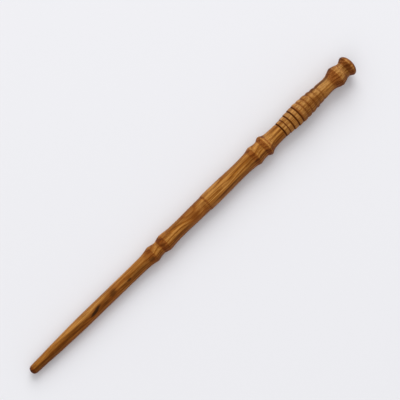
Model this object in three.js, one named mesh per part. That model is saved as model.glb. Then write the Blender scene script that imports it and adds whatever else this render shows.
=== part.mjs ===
// A hand-turned hardwood wand, lying at rest on a flat surface.
//
// It is made of two turned pieces. The shaft runs from the rounded tip to the front groove of the
// handle, and ends in a plain round tenon. The handle carries the grooves, the beaded grip and the
// pommel, and has a blind socket in its front end that the tenon is glued into. The shaft's
// shoulder and the handle's front face meet at the bottom of the front groove.
//
// Millimetres, +Z up. The outlines are (distance from the tip, radius). The pommel points to +X,
// and the origin is under the middle of the wand, on the surface that it lies on.

import * as THREE from "three";

// Driving dimensions.
const LENGTH = 357.5;
const GLUE_GAP = 0.3;
const SIDES = 32;

// The rounded tip, and the slim taper behind it with its slight hand-turned waves.
const TIP_ROUND = 3.2;
const TIP_RADIUS = 3.7;
const TAPER = [
  [6.5, 3.9], [11, 4.02], [18, 4.3], [24, 4.58], [34, 4.88], [44, 5.18], [53, 5.38],
  [60, 5.46], [78, 5.39], [92, 5.42], [108, 5.46], [119, 5.54], [124, 5.7], [127, 6.02],
];

// The node: two crests with a sharp neck between them.
const NODE_FRONT_CREST = { x: 132.8, r: 7.12 };
const NODE_FRONT_FALL = { x: 137.1, r: 6.2 };
const NODE_NECK = { x: 139.8, r: 5.82 };
const NODE_REAR_RISE = { x: 142.6, r: 6.6 };
const NODE_REAR_CREST = { x: 146.3, r: 7.42 };

// The swelling behind the node, up to a small shoulder that faces the tip.
const SWELLING = [
  [149.4, 7.12], [152.3, 6.75], [157, 6.43], [165, 6.34], [173, 6.5], [182, 6.66], [190.2, 6.68],
];
const SHOULDER = { x: 192.8, r: 7.12 };
const UPPER_SHAFT = [[199, 7.15], [209, 7.05], [227, 6.66], [236.6, 6.85], [241.8, 7.2]];

// The pair of large beads in front of the handle.
const BEAD_FRONT = { x: 246.7, r: 8.4 };
const BEAD_VALLEY = { x: 253.4, r: 7.42 };
const BEAD_REAR = { x: 258.5, r: 9.2 };
const REEL = [[261.3, 7.95], [264.2, 7.14], [269.1, 6.8], [274.6, 6.7]];
const REEL_END_RADIUS = 6.7;

// The tenon and its socket, which meet at the bottom of the front groove.
const JOINT_X = 276.5;
const JOINT_RADIUS = 6.2;
const TENON_RADIUS = 4;
const TENON_LENGTH = 20;
const TENON_CHAMFER = 0.8;
const SOCKET_SPARE = 1;

// Five V grooves with plain rings between them, each ring a little larger than the one before it.
const GROOVE_HALF_WIDTH = 0.55;
const GROOVES = [
  { x: JOINT_X, depth: 0.5 },
  { x: 280.8, depth: 0.32 },
  { x: 285.3, depth: 0.5 },
  { x: 290.2, depth: 0.54 },
  { x: 294.8, depth: 0.6 },
];
const RING_RADII = [6.92, 7.3, 7.74, 8.15];
const RING_ROUND = 0.06;

// Six low beads under the fingers, which get smaller and run out into the waist.
const GRIP_VALLEY_DEPTH = 0.42;
const GRIP_VALLEYS = [300.3, 305.1, 310.6, 315.2, 320.1, 324.5];
const GRIP_CREST_RADII = [8.45, 8.25, 8.03, 7.55, 7.08, 6.74];
const GRIP_END_RADIUS = 6.57;
const GRIP_BEAD_STEPS = 5;

// The waist, the last bead, and the flared pommel with its domed end.
const WAIST = [[327, 6.42], [329.5, 6.24], [331.9, 6.36], [334.3, 6.92], [336.8, 7.9]];
const LAST_BEAD = { x: 340.2, r: 9 };
const LAST_BEAD_FALL = { x: 344, r: 8.0 };
const POMMEL_NECK = { x: 347.8, r: 6.92 };
const POMMEL_FLARE = { x: 350.3, r: 7.75 };
const POMMEL_RIM = { x: 352.9, r: 8.95 };

// A crest is a short round of this half-width, and this much lower at its sides. A wide neck is
// the same, turned over.
const CREST_HALF_WIDTH = 0.7;
const CREST_DROP = 0.14;

// Sampling of the curves.
const SPLINE_STEPS = 2;
const TIP_STEPS = 5;
const DOME_STEPS = 7;

function vector([x, r]) {
  return new THREE.Vector2(x, r);
}

// Rounds a crest: one point at its top and one just below it on either side.
function crest(point) {
  return [
    [point.x - CREST_HALF_WIDTH, point.r - CREST_DROP],
    [point.x, point.r],
    [point.x + CREST_HALF_WIDTH, point.r - CREST_DROP],
  ];
}

// Flattens a neck: two points on either side of its lowest place.
function neck(point) {
  return [
    [point.x - CREST_HALF_WIDTH, point.r],
    [point.x + CREST_HALF_WIDTH, point.r],
  ];
}

// A smooth run through hand-set stations.
function smooth(stations) {
  const curve = new THREE.SplineCurve(stations.map(vector));
  return curve.getPoints((stations.length - 1) * SPLINE_STEPS).map((p) => [p.x, p.y]);
}

// The quarter-round from the axis to the tip's full radius.
function tipRound() {
  const points = [];
  for (let step = 0; step < TIP_STEPS; step++) {
    const angle = (step / TIP_STEPS) * (Math.PI / 2);
    points.push([TIP_ROUND * (1 - Math.cos(angle)), TIP_RADIUS * Math.sin(angle)]);
  }
  return points;
}

// The domed end: a quarter of an ellipse from the pommel's rim to the wand's end.
function dome() {
  const height = LENGTH - POMMEL_RIM.x;
  const points = [];
  for (let step = 1; step <= DOME_STEPS; step++) {
    const angle = (step / DOME_STEPS) * (Math.PI / 2);
    points.push([POMMEL_RIM.x + height * Math.sin(angle), POMMEL_RIM.r * Math.cos(angle)]);
  }
  points[points.length - 1] = [LENGTH, 0];
  return points;
}

function shaftOutline() {
  const shoulderX = JOINT_X - GLUE_GAP / 2;
  const tenonEnd = JOINT_X + TENON_LENGTH;
  return [
    ...tipRound(),
    ...smooth([[TIP_ROUND, TIP_RADIUS], ...TAPER]),
    ...crest(NODE_FRONT_CREST),
    [NODE_FRONT_FALL.x, NODE_FRONT_FALL.r],
    [NODE_NECK.x, NODE_NECK.r],
    [NODE_REAR_RISE.x, NODE_REAR_RISE.r],
    ...crest(NODE_REAR_CREST),
    ...smooth(SWELLING),
    [SHOULDER.x, SHOULDER.r],
    ...smooth(UPPER_SHAFT),
    ...crest(BEAD_FRONT),
    ...neck(BEAD_VALLEY),
    ...crest(BEAD_REAR),
    ...smooth(REEL),
    [JOINT_X - GROOVE_HALF_WIDTH, REEL_END_RADIUS],
    [shoulderX, JOINT_RADIUS],
    [shoulderX, TENON_RADIUS],
    [tenonEnd - TENON_CHAMFER, TENON_RADIUS],
    [tenonEnd, TENON_RADIUS - TENON_CHAMFER],
    [tenonEnd, 0],
  ];
}

// The rings between the grooves. Each ring's sides fall to the bottoms of the grooves beside it.
function ringOutline() {
  const points = [];
  RING_RADII.forEach((radius, ring) => {
    const before = GROOVES[ring];
    const after = GROOVES[ring + 1];
    points.push([before.x + GROOVE_HALF_WIDTH, radius - RING_ROUND]);
    points.push([(before.x + after.x) / 2, radius]);
    points.push([after.x - GROOVE_HALF_WIDTH, radius - RING_ROUND]);
    points.push([after.x, radius - after.depth]);
  });
  return points;
}

// The radius of the grip's valley between two crests.
function valleyBetween(crestBefore, crestAfter) {
  return (crestBefore + crestAfter) / 2 - GRIP_VALLEY_DEPTH;
}

// The beads of the grip, each a low arc between two valleys.
function gripOutline() {
  const points = [];
  let valleyX = GROOVES[GROOVES.length - 1].x + GROOVE_HALF_WIDTH;
  GRIP_CREST_RADII.forEach((crestRadius, bead) => {
    const nextX = GRIP_VALLEYS[bead];
    const crestBefore = GRIP_CREST_RADII[bead - 1] ?? crestRadius;
    const crestAfter = GRIP_CREST_RADII[bead + 1];
    const startRadius = valleyBetween(crestBefore, crestRadius);
    const endRadius = crestAfter ? valleyBetween(crestRadius, crestAfter) : GRIP_END_RADIUS;
    for (let step = 0; step < GRIP_BEAD_STEPS; step++) {
      const along = step / GRIP_BEAD_STEPS;
      const chord = startRadius + (endRadius - startRadius) * along;
      const rise = (crestRadius - (startRadius + endRadius) / 2) * Math.sin(Math.PI * along);
      points.push([valleyX + (nextX - valleyX) * along, chord + rise]);
    }
    valleyX = nextX;
  });
  return points;
}

function handleOutline() {
  const frontX = JOINT_X + GLUE_GAP / 2;
  const socketRadius = TENON_RADIUS + GLUE_GAP;
  const socketEnd = JOINT_X + TENON_LENGTH + SOCKET_SPARE;
  return [
    [socketEnd, 0],
    [socketEnd, socketRadius],
    [frontX, socketRadius],
    [frontX, JOINT_RADIUS],
    ...ringOutline(),
    ...gripOutline(),
    ...smooth([[GRIP_VALLEYS[GRIP_VALLEYS.length - 1], GRIP_END_RADIUS], ...WAIST]),
    ...crest(LAST_BEAD),
    [LAST_BEAD_FALL.x, LAST_BEAD_FALL.r],
    ...neck(POMMEL_NECK),
    [POMMEL_FLARE.x, POMMEL_FLARE.r],
    [POMMEL_RIM.x - CREST_HALF_WIDTH, POMMEL_RIM.r - CREST_DROP],
    [POMMEL_RIM.x, POMMEL_RIM.r],
    ...dome(),
  ];
}

// Turns an outline about the wand's axis. The flats of the many-sided solid touch the true round,
// and one flat faces straight down.
function turned(outline) {
  const flatsToCorners = 1 / Math.cos(Math.PI / SIDES);
  const points = outline.map(([x, r]) => new THREE.Vector2(r * flatsToCorners, x));
  const geometry = new THREE.LatheGeometry(points, SIDES, Math.PI / SIDES);
  geometry.rotateZ(-Math.PI / 2);
  return geometry;
}

function piece(name, outline, colour) {
  const material = new THREE.MeshStandardMaterial({ color: colour, roughness: 0.42, metalness: 0 });
  const mesh = new THREE.Mesh(turned(outline), material);
  mesh.name = name;
  return mesh;
}

// The wand lies on the rear crest of its node and on its largest bead, so its axis tilts a little.
const restTilt = Math.atan2(BEAD_REAR.r - NODE_REAR_CREST.r, BEAD_REAR.x - NODE_REAR_CREST.x);
const wand = new THREE.Group();
wand.add(piece("shaft", shaftOutline(), 0x9c6427));
wand.add(piece("handle", handleOutline(), 0xa66d2c));
wand.rotation.y = -restTilt;
wand.position.set(
  (-LENGTH / 2) * Math.cos(restTilt),
  0,
  NODE_REAR_CREST.r * Math.cos(restTilt) - NODE_REAR_CREST.x * Math.sin(restTilt),
);

const model = new THREE.Group();
model.add(wand);

export default model;
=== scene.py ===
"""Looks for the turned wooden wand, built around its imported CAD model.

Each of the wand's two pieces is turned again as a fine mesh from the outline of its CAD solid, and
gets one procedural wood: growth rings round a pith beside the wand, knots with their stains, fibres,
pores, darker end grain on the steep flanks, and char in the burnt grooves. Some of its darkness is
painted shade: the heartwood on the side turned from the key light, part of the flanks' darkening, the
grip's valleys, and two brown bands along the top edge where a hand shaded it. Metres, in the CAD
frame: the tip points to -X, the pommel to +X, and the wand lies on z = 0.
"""

import math
from typing import NamedTuple

import bpy
import numpy as np
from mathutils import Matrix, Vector


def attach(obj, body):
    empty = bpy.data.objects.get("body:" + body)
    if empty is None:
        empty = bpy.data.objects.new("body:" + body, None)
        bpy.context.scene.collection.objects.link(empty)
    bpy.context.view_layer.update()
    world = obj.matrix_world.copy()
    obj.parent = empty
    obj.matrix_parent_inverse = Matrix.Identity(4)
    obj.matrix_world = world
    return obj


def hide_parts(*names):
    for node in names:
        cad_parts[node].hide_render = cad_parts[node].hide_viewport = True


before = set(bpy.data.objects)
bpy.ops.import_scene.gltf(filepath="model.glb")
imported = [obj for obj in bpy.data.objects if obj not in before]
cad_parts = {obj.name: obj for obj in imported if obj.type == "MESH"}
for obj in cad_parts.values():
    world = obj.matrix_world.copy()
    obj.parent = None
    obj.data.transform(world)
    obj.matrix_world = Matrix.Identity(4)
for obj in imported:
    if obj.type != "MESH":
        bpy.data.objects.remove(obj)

MM = 0.001

# The CAD solids have this many sides, whose flats touch the true round.
CAD_SIDES = 32
CORNER_TO_ROUND = math.cos(math.pi / CAD_SIDES)

# The fine meshes: points round the wand, and the longest step along it on each piece.
POINTS_ROUND = 112
SHAFT_STEP = 0.5 * MM
HANDLE_STEP = 0.18 * MM

# Two faces of a fine mesh that meet at more than this show a sharp edge.
SHARP_ANGLE = math.radians(60)

# A burnt groove is a valley with flanks at least this steep. Its char fades over CHAR_REACH, and a
# groove of FULL_CHAR_DEPTH or more is burnt through. A shallower one is burnt less, by its share of
# that depth to the power of CHAR_GROWTH.
GROOVE_SLOPE = 0.45
CHAR_REACH = 0.72 * MM
FULL_CHAR_DEPTH = 0.58 * MM
CHAR_GROWTH = 1.4

# The valleys between the grip's beads are gentler. Painted shade darkens them a little.
VALLEY_SLOPE = 0.12
VALLEY_PAINTED_SHADE = 0.26
VALLEY_SHADE_REACH = 1.0 * MM

# How much a hand-turned surface strays inwards from a true round, as a share of its radius.
WANDER = 0.006

# Two stations of an outline closer than SAME are one. A radius below ON_AXIS is no radius.
SAME = 0.03 * MM
ON_AXIS = 0.001 * MM

# The camera: it looks down at the wand from the tip's side, so the pommel is a little further off.
VIEW_AZIMUTH = math.radians(45.07)
VIEW_ELEVATION = math.radians(74.45)
VIEW_DISTANCE = 1.6
VIEW_TARGET = Vector((0.0112, 0.00485, 0.009))
LENS_MM = 181.7
SENSOR_MM = 36

# The studio: a pale floor, 6 m square, under a soft sky.
FLOOR_HALF = 3.0
FLOOR_COLOUR = (0.83, 0.83, 0.852)
SKY_COLOUR = (1.0, 1.0, 1.02)
SKY_STRENGTH = 0.64

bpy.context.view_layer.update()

shaft_vertices = [vertex.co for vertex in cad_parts["shaft"].data.vertices]
handle_vertices = [vertex.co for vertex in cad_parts["handle"].data.vertices]
TIP = min(shaft_vertices, key=lambda co: co.x).copy()
END = max(handle_vertices, key=lambda co: co.x).copy()
AXIS = (END - TIP).normalized()
SIDE = Vector((0, 1, 0))
RISE = AXIS.cross(SIDE)


# ---------------------------------------------------------------- outlines


def cad_stations(vertices):
    """A solid's outline as (distance from the tip, radius), front to back, wider one first."""
    found = set()
    for co in vertices:
        offset = co - TIP
        along = offset.dot(AXIS)
        radius = (offset - AXIS * along).length * CORNER_TO_ROUND
        found.add((round(along, 5), round(radius, 5)))
    stations = []
    for along, radius in sorted(found, key=lambda station: (station[0], -station[1])):
        if stations and along - stations[-1][0] < SAME and abs(radius - stations[-1][1]) < SAME:
            continue
        stations.append((along, radius))
    return stations


def monotone_slopes(x, r):
    """The slope at each station of a curve that keeps the stations' own highs and lows."""
    steps = np.diff(r) / np.diff(x)
    slopes = np.zeros(len(x))
    slopes[0] = steps[0]
    slopes[-1] = steps[-1]
    for i in range(1, len(x) - 1):
        before, after = steps[i - 1], steps[i]
        if before * after > 0:
            slopes[i] = 2 * before * after / (before + after)
    return slopes


def fine_outline(stations, longest_step):
    """The stations joined by a smooth curve, sampled in steps no longer than longest_step."""
    x = np.array([station[0] for station in stations])
    r = np.array([station[1] for station in stations])
    slopes = monotone_slopes(x, r)
    points = [(x[0], r[0])]
    for i in range(len(x) - 1):
        width = x[i + 1] - x[i]
        count = max(1, math.ceil(width / longest_step))
        for step in range(1, count + 1):
            t = step / count
            value = (
                (2 * t**3 - 3 * t**2 + 1) * r[i]
                + (t**3 - 2 * t**2 + t) * width * slopes[i]
                + (3 * t**2 - 2 * t**3) * r[i + 1]
                + (t**3 - t**2) * width * slopes[i + 1]
            )
            points.append((x[i] + t * width, max(value, 0.0)))
    return points


def valleys(stations, slope):
    """The valleys with flanks steeper than slope: each one's place and its depth below its front."""
    found = []
    for before, bottom, after in zip(stations, stations[1:], stations[2:]):
        run_in = bottom[0] - before[0]
        run_out = after[0] - bottom[0]
        if run_in < SAME or run_out < SAME:
            continue
        fall = (before[1] - bottom[1]) / run_in
        climb = (after[1] - bottom[1]) / run_out
        if fall > slope and climb > slope:
            found.append((bottom[0], before[1] - bottom[1]))
    return found


# ---------------------------------------------------------------- meshes


def wander(along, angle):
    """The turned surface's own unevenness, from 0 to 1, smooth along and round the wand."""
    x = along / MM
    waves = (
        math.sin(0.11 * x + 1.3)
        + 0.6 * math.sin(0.29 * x + angle + 0.4)
        + 0.5 * math.sin(2 * angle - 0.05 * x + 2.1)
        + 0.3 * math.sin(0.83 * x - angle)
    )
    heights_together = 2.4
    return 0.5 + waves / (2 * heights_together)


def turn(name, outline, even_to, dark_places):
    """Turns an outline about the wand's axis. Points no further out than even_to stay even."""
    vertices = []
    rings = []
    char_and_valley_shade = []
    for along, radius in outline:
        centre = TIP + AXIS * along
        char_and_shade_here = sum(
            darkness * math.exp(-(((along - place) / reach) ** 2))
            for place, darkness, reach in dark_places
        )
        if radius < ON_AXIS:
            rings.append([len(vertices)])
            vertices.append(centre)
            char_and_valley_shade.append(0.0)
            continue
        ring = []
        for point in range(POINTS_ROUND):
            angle = 2 * math.pi * point / POINTS_ROUND
            inward = WANDER * wander(along, angle) if radius > even_to else 0.0
            direction = SIDE * math.sin(angle) + RISE * math.cos(angle)
            ring.append(len(vertices))
            vertices.append(centre + direction * radius * (1 - inward))
            char_and_valley_shade.append(min(1.0, char_and_shade_here))
        rings.append(ring)
    faces = []
    for front, back in zip(rings, rings[1:]):
        for point in range(POINTS_ROUND):
            after = (point + 1) % POINTS_ROUND
            if len(front) == 1:
                faces.append((front[0], back[point], back[after]))
            elif len(back) == 1:
                faces.append((front[point], back[0], front[after]))
            else:
                faces.append((front[point], back[point], back[after], front[after]))
    mesh = bpy.data.meshes.new(name)
    mesh.from_pydata(vertices, [], faces)
    attribute = mesh.attributes.new("char_and_valley_shade", "FLOAT", "POINT")
    attribute.data.foreach_set("value", char_and_valley_shade)
    mesh.polygons.foreach_set("use_smooth", [True] * len(mesh.polygons))
    mesh.set_sharp_from_angle(angle=SHARP_ANGLE)
    mesh.update()
    piece = bpy.data.objects.new(name, mesh)
    bpy.context.scene.collection.objects.link(piece)
    return piece


# ---------------------------------------------------------------- wood


# Noise mostly stays within NOISE_SPREAD of its middle.
NOISE_MIDDLE = 0.5
NOISE_SPREAD = 0.25


class Graph:
    """A material's nodes, with short ways to add and join them."""

    def __init__(self, name):
        self.material = bpy.data.materials.new(name)
        self.material.use_nodes = True
        self.tree = self.material.node_tree
        self.tree.nodes.clear()

    def join(self, source, socket):
        """Feeds a socket from another socket, or sets it to a number, a vector or a colour."""
        if isinstance(source, bpy.types.NodeSocket):
            self.tree.links.new(source, socket)
        elif isinstance(source, tuple) and len(source) == 3 and socket.type == "RGBA":
            socket.default_value = (*source, 1.0)
        else:
            socket.default_value = source

    def math(self, operation, first, second=0.0):
        node = self.tree.nodes.new("ShaderNodeMath")
        node.operation = operation
        self.join(first, node.inputs[0])
        self.join(second, node.inputs[1])
        return node.outputs[0]

    def total(self, *values):
        result = values[0]
        for value in values[1:]:
            result = self.math("ADD", result, value)
        return result

    def vector(self, operation, first, second=(0, 0, 0)):
        node = self.tree.nodes.new("ShaderNodeVectorMath")
        node.operation = operation
        self.join(first, node.inputs[0])
        self.join(second, node.inputs[1])
        scalar = operation in ("LENGTH", "DOT_PRODUCT")
        return node.outputs["Value" if scalar else "Vector"]

    def combine(self, x, y, z):
        node = self.tree.nodes.new("ShaderNodeCombineXYZ")
        for value, socket in zip((x, y, z), node.inputs):
            self.join(value, socket)
        return node.outputs[0]

    def noise(self, place, stretch, detail=2.0, roughness=0.5):
        """Noise from 0 to 1, whose features are about 1/stretch long each way."""
        node = self.tree.nodes.new("ShaderNodeTexNoise")
        node.inputs["Scale"].default_value = 1.0
        node.inputs["Detail"].default_value = detail
        node.inputs["Roughness"].default_value = roughness
        self.join(self.vector("MULTIPLY", place, stretch), node.inputs["Vector"])
        return node.outputs["Fac"]

    def swing(self, place, stretch, reach, detail=1.0):
        """Noise about zero, which mostly stays within reach to either side."""
        centred = self.math("SUBTRACT", self.noise(place, stretch, detail), NOISE_MIDDLE)
        return self.math("MULTIPLY", centred, reach / NOISE_SPREAD)

    def remap(self, value, low, high, to_low=0.0, to_high=1.0):
        """Goes smoothly from to_low, where the value is low, to to_high, where it is high."""
        node = self.tree.nodes.new("ShaderNodeMapRange")
        node.interpolation_type = "SMOOTHSTEP"
        self.join(value, node.inputs["Value"])
        node.inputs["From Min"].default_value = low
        node.inputs["From Max"].default_value = high
        node.inputs["To Min"].default_value = to_low
        node.inputs["To Max"].default_value = to_high
        return node.outputs["Result"]

    def mix(self, factor, first, second, blend="MIX"):
        node = self.tree.nodes.new("ShaderNodeMix")
        node.data_type = "RGBA"
        node.blend_type = blend
        self.join(factor, node.inputs["Factor"])
        colours = [socket for socket in node.inputs if socket.type == "RGBA"]
        self.join(first, colours[0])
        self.join(second, colours[1])
        return next(socket for socket in node.outputs if socket.type == "RGBA")

    def lay(self, colour, over, value, start, full, most=1.0, blend="MIX"):
        """Covers a colour with another: not at all where value is start, by most where it is full."""
        return self.mix(self.remap(value, start, full, 0.0, most), colour, over, blend)

    def ramp(self, value, stops):
        node = self.tree.nodes.new("ShaderNodeValToRGB")
        elements = node.color_ramp.elements
        while len(elements) < len(stops):
            elements.new(0.5)
        for element, (place, colour) in zip(elements, stops):
            element.position = place
            element.color = (*colour, 1.0)
        self.join(value, node.inputs["Fac"])
        return node.outputs["Color"]


# The wood's colours, from the palest early wood to the char in the grooves. The scorched brown
# also paints the shade in the grip's valleys.
STRAW = (0.54, 0.245, 0.056)
HONEY = (0.44, 0.172, 0.028)
GOLD = (0.31, 0.102, 0.009)
BROWN = (0.18, 0.047, 0.003)
UMBER = (0.075, 0.017, 0.0015)
RUSSET = (0.23, 0.058, 0.006)
KNOT = (0.020, 0.0050, 0.0015)
SCORCH_AND_VALLEY_SHADE = (0.130, 0.030, 0.002)
CHAR = (0.078, 0.017, 0.001)

# The fibres under the finish give the sheen their own colour.
FIBRE_SHINE = (1.0, 0.60, 0.22)

# What end grain does to the colour, as it soaks up more oil: on a sloping flank, and on a true end.
# Part of this darkening is painted shade, fitted to flanks turned from the light.
FLANK_GRAIN_AND_SHADE = (0.67, 0.48, 0.38)
END_GRAIN_AND_SHADE = (0.55, 0.45, 0.40)

# What each piece's colour is multiplied by in the end: the handle is a little paler and less red.
SHAFT_WARMTH = (1.0, 1.0, 1.0)
HANDLE_WARMTH = (1.03, 1.11, 1.35)

# The growth rings, in mm: the pith runs beside and below the wand, which puts the dark heartwood on
# the side turned from the key light, partly as painted shade there. It is at its given distance
# PITH_LEVEL behind the tip, and comes closer towards the tip by PITH_SLANT. The rings are
# RING_PITCH apart.
PITH_SIDE = -21.0
PITH_RISE = -13.0
PITH_SLANT = 0.009
PITH_LEVEL = 170.0
RING_PITCH = 2.2

# One year's growth, from 0 to 1 through the ring, in golden wood and in dark heartwood.
GOLDEN_RING = [(0.0, HONEY), (0.3, STRAW), (0.6, HONEY), (0.82, GOLD), (0.92, BROWN), (1.0, HONEY)]
DARK_RING = [(0.0, BROWN), (0.3, GOLD), (0.6, BROWN), (0.85, UMBER), (0.94, UMBER), (1.0, BROWN)]

# Noises, by how many features they have in a mm along the wand, and in a mm across it both ways.
# The rings swerve by three of them, each with how far it carries them in mm.
RING_SWERVES = [((0.008, 0.02, 0.02), 2.4), ((0.028, 0.09, 0.09), 0.7), ((0.09, 0.45, 0.45), 0.16)]
FRAYED_EDGES = (0.05, 1.1, 1.1)
BROAD_PATCHES = (0.018, 0.11, 0.11)
LONG_STREAKS = (0.02, 0.75, 0.75)
FINE_FIBRES = (0.06, 2.6, 2.6)
OPEN_PORES = (0.3, 7.0, 7.0)
CHAR_EDGES = (0.2, 0.5, 0.5)
UNEVEN_SHEEN = (0.05, 0.4, 0.4)
TOOL_MARKS = (2.4, 0.02, 0.02)

# The rings' widths vary with their depth: how often in a mm, and by how much in mm.
RING_WIDTHS = (0.33, 1, 1)
RING_WIDTHS_REACH = 0.9

# How deep the relief looks, and what shares in it: proud fibres, sunk pores, the rings, and the
# faint marks that the turning tool leaves.
RELIEF_DEPTH = 0.06 * MM
FIBRE_RELIEF = 0.6
PORE_RELIEF = -0.9
RING_RELIEF = 0.2
TOOL_RELIEF = 0.35

# How much of a knot's stain shows in the colour, and how much duller a pore is.
STAIN_SHARE = 0.6
PORE_DULLNESS = 0.2

# Away from the pith the wood turns from dark heartwood to golden wood between these two depths.
# The dark heartwood is partly real and partly painted shade: it darkens the -Y side and the
# underside, which the key light doesn't reach.
HEARTWOOD_AND_SHADE_DEPTHS = (24.0, 28.8)

# Towards the tip the fibres rise out of the wand's top by this slope, so the flanks there that face
# the tip show more end grain than those that face the pommel. This extra darkening is painted shade:
# the flanks that face the tip are turned from the key light, which is on the pommel's side.
RUN_OUT_SHADE_TILT = 0.15

# How far a knot's or a streak's effects reach from its middle, in half-lengths: where each begins
# to fade, and where it has gone.
KNOT_PUSH_FADE = (0.0, 2.6)
KNOT_STAIN_FADE = (0.5, 2.2)
KNOT_HEART_FADE = (0.5, 1.05)
STREAK_FADE = (0.3, 1.5)


class Knot(NamedTuple):
    """A knot: its distance from the tip in mm, its angle from straight up towards -Y in degrees,
    its half-length and half-width in mm, how far in mm it pushes the rings, how strongly it stains
    the wood and darkens it at its heart, and its slope across the wand."""

    along: float
    angle: float
    length: float
    width: float
    push: float
    stain: float
    heart: float
    lean: float = 0.0


class Streak(NamedTuple):
    """A streak or a short patch of another colour in the wood, placed like a knot, and how strongly
    its colour covers what lies under it."""

    along: float
    angle: float
    length: float
    width: float
    colour: tuple
    strength: float
    lean: float = 0.0


# The last three knots are on the side that the photograph doesn't show.
KNOTS = [
    Knot(along=68, angle=24, length=8.0, width=1.8, push=1.5, stain=0.7, heart=0.95, lean=0.2),
    Knot(along=88, angle=10, length=5.0, width=2.6, push=1.0, stain=0.9, heart=0.6, lean=0.1),
    Knot(along=104.6, angle=27, length=2.4, width=1.2, push=0.7, stain=0.5, heart=0.75),
    Knot(along=128.5, angle=32, length=4.0, width=2.4, push=0.5, stain=0.6, heart=0.5),
    Knot(along=142.5, angle=14, length=2.4, width=2.6, push=0.3, stain=0.7, heart=0.35),
    Knot(along=177, angle=16, length=7.0, width=4.6, push=2.2, stain=0.8, heart=0.15, lean=-0.4),
    Knot(along=41, angle=205, length=6.0, width=1.8, push=1.2, stain=0.5, heart=0.8, lean=0.1),
    Knot(along=121, angle=160, length=5.0, width=1.6, push=1.0, stain=0.5, heart=0.6, lean=-0.1),
    Knot(along=218, angle=215, length=8.0, width=2.6, push=1.8, stain=0.7, heart=0.8, lean=0.1),
]

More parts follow.
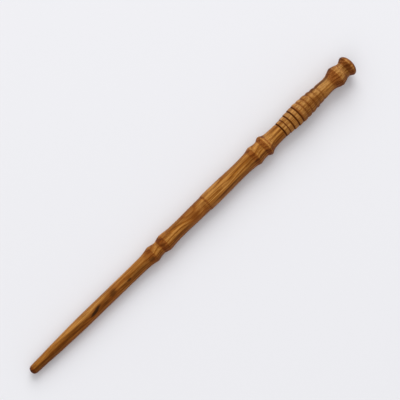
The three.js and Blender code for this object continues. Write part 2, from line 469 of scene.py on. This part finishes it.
# The streaks are laid one over another in this order.
STREAKS = [
    # Pale wood on the side that the photograph shows.
    Streak(along=20, angle=-14, length=20.0, width=2.0, colour=HONEY, strength=0.7),
    Streak(along=70, angle=-34, length=28.0, width=2.2, colour=STRAW, strength=0.7),
    Streak(along=62, angle=-17, length=24.0, width=1.6, colour=STRAW, strength=0.7),
    Streak(along=112, angle=-34, length=14.0, width=2.4, colour=HONEY, strength=0.6),
    Streak(along=187.5, angle=10, length=5.0, width=2.6, colour=STRAW, strength=0.7),
    Streak(along=200, angle=-26, length=8.0, width=3.2, colour=STRAW, strength=0.8, lean=0.05),
    Streak(along=212, angle=14, length=5.0, width=2.2, colour=STRAW, strength=0.6),
    Streak(along=198, angle=58, length=5.0, width=2.4, colour=HONEY, strength=0.6),
    Streak(along=178, angle=58, length=8.0, width=2.0, colour=HONEY, strength=0.5),
    Streak(along=246.5, angle=-34, length=2.0, width=2.4, colour=STRAW, strength=0.6),
    Streak(along=263, angle=-4, length=9.0, width=4.2, colour=STRAW, strength=0.7),
    Streak(along=286, angle=58, length=9.0, width=4.0, colour=HONEY, strength=0.7),
    Streak(along=281, angle=10, length=3.5, width=2.4, colour=STRAW, strength=0.6),
    Streak(along=261.2, angle=6, length=3.0, width=5.0, colour=STRAW, strength=0.9),
    Streak(along=293, angle=-15, length=9.0, width=3.4, colour=STRAW, strength=0.8),
    Streak(along=305, angle=-24, length=12.0, width=2.6, colour=HONEY, strength=0.5),
    Streak(along=297.4, angle=-20, length=2.0, width=3.0, colour=STRAW, strength=0.9),
    Streak(along=304, angle=-11, length=14.0, width=1.8, colour=STRAW, strength=0.6),
    Streak(along=324, angle=-10, length=11.0, width=2.8, colour=STRAW, strength=0.8),
    Streak(along=341, angle=-30, length=5.0, width=5.0, colour=HONEY, strength=0.6),
    Streak(along=326, angle=46, length=8.0, width=3.0, colour=HONEY, strength=0.7),
    Streak(along=344.6, angle=4, length=2.4, width=5.0, colour=STRAW, strength=0.7),
    Streak(along=355.2, angle=-12, length=2.2, width=3.0, colour=STRAW, strength=0.7),
    # Dark and russet wood on that side, with painted shade and darker edges among them, as marked.
    Streak(along=10, angle=58, length=24.0, width=2.4, colour=UMBER, strength=0.9),
    Streak(along=30, angle=27, length=36.0, width=1.8, colour=UMBER, strength=0.55),
    Streak(along=52, angle=17, length=18.0, width=1.5, colour=UMBER, strength=0.3),
    Streak(along=78, angle=22, length=17.0, width=2.6, colour=UMBER, strength=0.8),
    Streak(along=86, angle=-20, length=6.0, width=3.4, colour=BROWN, strength=0.5),
    Streak(along=113, angle=27, length=17.0, width=1.8, colour=UMBER, strength=0.6),
    Streak(along=134, angle=60, length=8.0, width=1.8, colour=UMBER, strength=0.4),
    Streak(along=140, angle=-12, length=2.0, width=2.6, colour=BROWN, strength=0.7),
    Streak(along=160, angle=48, length=22.0, width=1.1, colour=UMBER, strength=0.6),
    # Painted shadow: brown along the +Y top edge, where a hand that held the wand shaded it.
    Streak(along=174, angle=-44, length=22.0, width=2.2, colour=BROWN, strength=0.7),
    Streak(along=177, angle=34, length=3.6, width=3.4, colour=RUSSET, strength=0.8),
    Streak(along=188, angle=34, length=2.8, width=3.6, colour=RUSSET, strength=0.8),
    Streak(along=210, angle=48, length=18.0, width=0.9, colour=UMBER, strength=0.9, lean=0.04),
    # Painted shadow: brown along the +Y top edge further back, where the same hand shaded it.
    Streak(along=230, angle=-48, length=22.0, width=2.2, colour=BROWN, strength=0.6),
    Streak(along=239, angle=14, length=6.0, width=2.2, colour=BROWN, strength=0.55),
    Streak(along=244, angle=40, length=32.0, width=0.9, colour=UMBER, strength=0.9),
    Streak(along=261, angle=-46, length=2.6, width=2.6, colour=UMBER, strength=0.6),
    Streak(along=290, angle=-44, length=6.0, width=1.6, colour=BROWN, strength=0.5),
    Streak(along=302.5, angle=60, length=3.0, width=2.5, colour=BROWN, strength=0.6),
    Streak(along=310, angle=20, length=13.0, width=2.4, colour=BROWN, strength=0.8),
    # Darker along the +Y top edge of the waist.
    Streak(along=318, angle=-52, length=14.0, width=2.4, colour=BROWN, strength=0.7),
    Streak(along=322, angle=-46, length=16.0, width=1.8, colour=UMBER, strength=0.9),
    Streak(along=330.5, angle=-47, length=3.4, width=1.8, colour=UMBER, strength=0.6),
    Streak(along=347.6, angle=-44, length=2.0, width=2.2, colour=UMBER, strength=0.5),
    # These two darken the +Y top edge of the last bead and the pommel.
    Streak(along=340, angle=-64, length=5.0, width=3.0, colour=UMBER, strength=0.7),
    Streak(along=352, angle=-64, length=3.6, width=3.0, colour=UMBER, strength=0.7),
    Streak(along=349.4, angle=14, length=4.0, width=4.2, colour=UMBER, strength=0.6),
    # Dark wood on the side that the photograph doesn't show.
    Streak(along=150, angle=170, length=30.0, width=1.6, colour=UMBER, strength=0.6, lean=0.01),
    Streak(along=255, angle=245, length=30.0, width=1.4, colour=UMBER, strength=0.6),
]


def feature_distance(g, place, feature, outline):
    """How far a place is from a knot or streak of the surface, in its own half-lengths."""
    angle = math.radians(feature.angle)
    radius = np.interp(feature.along, *zip(*outline)) / MM
    centre = (feature.along, -radius * math.sin(angle), radius * math.cos(angle))
    offset = g.vector("SUBTRACT", place, centre)
    lean = g.math("MULTIPLY", g.vector("DOT_PRODUCT", offset, (1, 0, 0)), -feature.lean)
    offset = g.vector("ADD", offset, g.combine(0.0, lean, 0.0))
    shrink = (1 / feature.length, 1 / feature.width, 1 / feature.width)
    return g.vector("LENGTH", g.vector("MULTIPLY", offset, shrink))


def knots(g, place, outline, fray):
    """What the knots do at a place: how far they push the rings, their stain and their heart."""
    push = stain = heart = 0.0
    for knot in KNOTS:
        distance = feature_distance(g, place, knot, outline)
        push = g.total(push, g.remap(distance, *KNOT_PUSH_FADE, knot.push, 0.0))
        frayed = g.math("ADD", distance, fray)
        stain = g.math("MAXIMUM", stain, g.remap(frayed, *KNOT_STAIN_FADE, knot.stain, 0.0))
        heart = g.math("MAXIMUM", heart, g.remap(frayed, *KNOT_HEART_FADE, knot.heart, 0.0))
    return push, stain, heart


def growth_rings(g, place, along, side, rise, push):
    """How far a place is from the pith, in mm, and where it lies in its ring, from 0 to 1."""
    across = g.combine(0.0, g.math("SUBTRACT", side, PITH_SIDE), g.math("SUBTRACT", rise, PITH_RISE))
    depth = g.vector("LENGTH", across)
    slant = g.math("MULTIPLY", g.math("SUBTRACT", along, PITH_LEVEL), PITH_SLANT)
    swerves = [g.swing(place, stretch, reach) for stretch, reach in RING_SWERVES]
    depth = g.total(depth, slant, *swerves, push)
    uneven = g.swing(g.combine(depth, 0.0, 0.0), RING_WIDTHS, RING_WIDTHS_REACH)
    phase = g.math("FRACT", g.math("DIVIDE", g.math("ADD", depth, uneven), RING_PITCH))
    return depth, phase


def ring_colour(g, place, outline, depth, phase, fray):
    """The colour of the rings, with the broad patches and the single streaks laid over them."""
    golden = g.ramp(phase, GOLDEN_RING)
    dark = g.ramp(phase, DARK_RING)
    colour = g.mix(g.remap(depth, *HEARTWOOD_AND_SHADE_DEPTHS), dark, golden)
    patch = g.noise(place, BROAD_PATCHES, detail=3.0, roughness=0.6)
    colour = g.lay(colour, RUSSET, patch, start=0.54, full=0.72, most=0.7)
    colour = g.lay(colour, STRAW, patch, start=0.44, full=0.28, most=0.5)
    for streak in STREAKS:
        distance = g.math("ADD", feature_distance(g, place, streak, outline), fray)
        colour = g.mix(g.remap(distance, *STREAK_FADE, streak.strength, 0.0), colour, streak.colour)
    return colour


def wood(name, warmth, outline):
    """The wood's material. Its places are in mm from the tip: along the wand, sideways and up."""
    g = Graph(name)
    nodes = g.tree.nodes
    surface = nodes.new("ShaderNodeTexCoord").outputs["Object"]
    offset = g.vector("MULTIPLY", g.vector("SUBTRACT", surface, tuple(TIP)), (1 / MM, 1 / MM, 1 / MM))
    along, side, rise = (g.vector("DOT_PRODUCT", offset, tuple(way)) for way in (AXIS, SIDE, RISE))
    outline = [(distance / MM, radius) for distance, radius in outline]
    place = g.combine(along, side, rise)
    fray = g.swing(place, FRAYED_EDGES, reach=0.35, detail=3.0)
    push, stain, heart = knots(g, place, outline, fray)
    depth, phase = growth_rings(g, place, along, side, rise, push)
    colour = ring_colour(g, place, outline, depth, phase, fray)

    # Long brown streaks, then fine dark and pale fibres.
    long_streak = g.noise(place, LONG_STREAKS, detail=3.0, roughness=0.6)
    colour = g.lay(colour, BROWN, long_streak, start=0.48, full=0.64, most=0.62)
    fibre = g.noise(place, FINE_FIBRES, detail=4.0, roughness=0.65)
    colour = g.lay(colour, UMBER, fibre, start=0.46, full=0.66, most=0.6)
    colour = g.lay(colour, STRAW, fibre, start=0.44, full=0.3, most=0.4)

    # Open pores: short dark dashes along the grain, thickest in the dark late wood.
    pore = g.remap(g.noise(place, OPEN_PORES, detail=1.0), low=0.64, high=0.7)
    pore = g.math("MULTIPLY", pore, g.remap(phase, low=0.2, high=0.8, to_low=0.35, to_high=0.9))
    colour = g.mix(pore, colour, UMBER)

    # The knots' russet stain and their dark hearts.
    colour = g.mix(g.math("MULTIPLY", stain, STAIN_SHARE), colour, RUSSET)
    colour = g.mix(heart, colour, KNOT)

    # End grain, where the surface cuts across the fibres. Part of its darkening is painted shade on
    # the steep flanks, most of all on those that face the tip.
    normal = nodes.new("ShaderNodeNewGeometry").outputs["Normal"]
    fibre_way = (AXIS - RISE * RUN_OUT_SHADE_TILT).normalized()
    steepness = g.math("ABSOLUTE", g.vector("DOT_PRODUCT", normal, tuple(fibre_way)))
    colour = g.lay(colour, FLANK_GRAIN_AND_SHADE, steepness, start=0.17, full=0.40, blend="MULTIPLY")
    colour = g.lay(colour, END_GRAIN_AND_SHADE, steepness, start=0.55, full=0.95, blend="MULTIPLY")

    # Char in the grooves, with a brown scorched edge, and painted shade in the grip's valleys in the
    # same scorched brown.
    attribute = nodes.new("ShaderNodeAttribute")
    attribute.attribute_name = "char_and_valley_shade"
    char_and_valley_shade = g.math("ADD", attribute.outputs["Fac"], g.swing(place, CHAR_EDGES, reach=0.08))
    colour = g.lay(colour, SCORCH_AND_VALLEY_SHADE, char_and_valley_shade, start=0.08, full=0.45, most=0.85)
    colour = g.lay(colour, CHAR, char_and_valley_shade, start=0.4, full=0.85)
    colour = g.mix(1.0, colour, warmth, "MULTIPLY")

    # A satin oil and wax finish, duller in the pores, on end grain and in the char.
    sheen = g.noise(place, UNEVEN_SHEEN, detail=3.0)
    roughness = g.total(
        g.remap(sheen, low=0.3, high=0.7, to_low=0.46, to_high=0.6),
        g.math("MULTIPLY", pore, PORE_DULLNESS),
        g.remap(char_and_valley_shade, low=0.3, high=0.8, to_high=0.25),
        g.remap(steepness, low=0.2, high=0.7, to_high=0.12),
    )

    tool_marks = g.noise(place, TOOL_MARKS)
    relief = g.total(
        g.math("MULTIPLY", fibre, FIBRE_RELIEF),
        g.math("MULTIPLY", pore, PORE_RELIEF),
        g.math("MULTIPLY", phase, RING_RELIEF),
        g.math("MULTIPLY", tool_marks, TOOL_RELIEF),
    )
    bump = nodes.new("ShaderNodeBump")
    bump.inputs["Strength"].default_value = 0.6
    bump.inputs["Distance"].default_value = RELIEF_DEPTH
    g.join(relief, bump.inputs["Height"])

    shader = nodes.new("ShaderNodeBsdfPrincipled")
    shader.inputs["IOR"].default_value = 1.45
    shader.inputs["Specular IOR Level"].default_value = 0.25
    shader.inputs["Specular Tint"].default_value = (*FIBRE_SHINE, 1.0)
    g.join(colour, shader.inputs["Base Color"])
    g.join(roughness, shader.inputs["Roughness"])
    g.join(bump.outputs["Normal"], shader.inputs["Normal"])
    output = nodes.new("ShaderNodeOutputMaterial")
    g.join(shader.outputs["BSDF"], output.inputs["Surface"])
    return g.material


# ---------------------------------------------------------------- the wand's two pieces


def finish_piece(piece, node, slot, warmth, outline):
    """Gives a piece its wood, and says which body it rides and which CAD node it replaces."""
    piece.data.materials.append(wood(slot, warmth, outline))
    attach(piece, "root")
    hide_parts(node)


# The shaft's outline turns square into its shoulder where two radii share one distance.
shaft_stations = cad_stations(shaft_vertices)
shoulder = next(
    i for i in range(1, len(shaft_stations)) if shaft_stations[i][0] - shaft_stations[i - 1][0] < SAME
)
shaft_outside = shaft_stations[:shoulder]
tenon = shaft_stations[shoulder:]

# In the front half of the handle only the socket comes closer to the axis than its front face does.
handle_stations = cad_stations(handle_vertices)
front, front_radius = handle_stations[0]
handle_middle = (front + (END - TIP).length) / 2
socket = [s for s in handle_stations if s[0] < handle_middle and s[1] < front_radius - SAME]
handle_outside = [s for s in handle_stations if s not in socket]
socket_radius = socket[0][1]
socket_end = socket[-1][0]
socket_line = [(socket_end, 0.0), (socket_end, socket_radius), (front, socket_radius)]

joint = (shaft_outside[-1][0] + front) / 2
whole_outside = shaft_outside[:-1] + [(joint, front_radius)] + handle_outside[1:]
grooves = valleys(whole_outside, GROOVE_SLOPE)
grip_valleys = [v for v in valleys(handle_outside, VALLEY_SLOPE) if v not in grooves]
dark_places = [
    (place, min(1.0, depth / FULL_CHAR_DEPTH) ** CHAR_GROWTH, CHAR_REACH) for place, depth in grooves
]
# The grip's valleys get painted shade, carried in the same attribute as the grooves' char.
dark_places += [(place, VALLEY_PAINTED_SHADE, VALLEY_SHADE_REACH) for place, _ in grip_valleys]

shaft_line = fine_outline(shaft_outside, SHAFT_STEP) + tenon
handle_line = socket_line + fine_outline(handle_outside, HANDLE_STEP)
shaft = turn("shaft_turned", shaft_line, tenon[0][1] + SAME, dark_places)
handle = turn("handle_turned", handle_line, socket_radius + SAME, dark_places)
finish_piece(shaft, "shaft", "shaft_wood", SHAFT_WARMTH, whole_outside)
finish_piece(handle, "handle", "handle_wood", HANDLE_WARMTH, whole_outside)


# ---------------------------------------------------------------- floor, light and camera


def pale_floor():
    """The plain floor, which isn't part of the wand."""
    half = FLOOR_HALF
    mesh = bpy.data.meshes.new("floor")
    corners = [(-half, -half, 0), (half, -half, 0), (half, half, 0), (-half, half, 0)]
    mesh.from_pydata(corners, [], [(0, 1, 2, 3)])
    floor = bpy.data.objects.new("floor", mesh)
    bpy.context.scene.collection.objects.link(floor)
    material = bpy.data.materials.new("pale_floor")
    material.use_nodes = True
    shader = material.node_tree.nodes["Principled BSDF"]
    shader.inputs["Base Color"].default_value = (*FLOOR_COLOUR, 1)
    shader.inputs["Roughness"].default_value = 0.7
    shader.inputs["Specular IOR Level"].default_value = 0.2
    mesh.materials.append(material)


def soft_light(name, place, size, watts):
    """A round area light that faces the origin."""
    light = bpy.data.lights.new(name, "AREA")
    light.shape = "DISK"
    light.size = size
    light.energy = watts
    lamp = bpy.data.objects.new(name, light)
    lamp.location = place
    lamp.rotation_euler = (-Vector(place)).to_track_quat("-Z", "Y").to_euler()
    bpy.context.scene.collection.objects.link(lamp)


def studio():
    """The sky and two lamps. The view transform is set so that the photograph's tones come out."""
    world = bpy.data.worlds.new("studio")
    world.use_nodes = True
    background = world.node_tree.nodes["Background"]
    background.inputs["Color"].default_value = (*SKY_COLOUR, 1)
    background.inputs["Strength"].default_value = SKY_STRENGTH
    bpy.context.scene.world = world
    soft_light("key", place=(2.3, 2.4, 2.9), size=4.0, watts=112)
    soft_light("fill", place=(-2.4, -1.6, 2.9), size=2.8, watts=18)
    bpy.context.scene.view_settings.view_transform = "Standard"


def camera():
    """The camera, at the photograph's viewing angle."""
    data = bpy.data.cameras.new("camera")
    data.lens = LENS_MM
    data.sensor_width = SENSOR_MM
    looking = Vector(
        (
            math.cos(VIEW_ELEVATION) * math.cos(VIEW_AZIMUTH),
            math.cos(VIEW_ELEVATION) * math.sin(VIEW_AZIMUTH),
            -math.sin(VIEW_ELEVATION),
        )
    )
    viewer = bpy.data.objects.new("camera", data)
    viewer.location = VIEW_TARGET - looking * VIEW_DISTANCE
    viewer.rotation_euler = looking.to_track_quat("-Z", "Y").to_euler()
    bpy.context.scene.collection.objects.link(viewer)
    bpy.context.scene.camera = viewer


pale_floor()
studio()
camera()
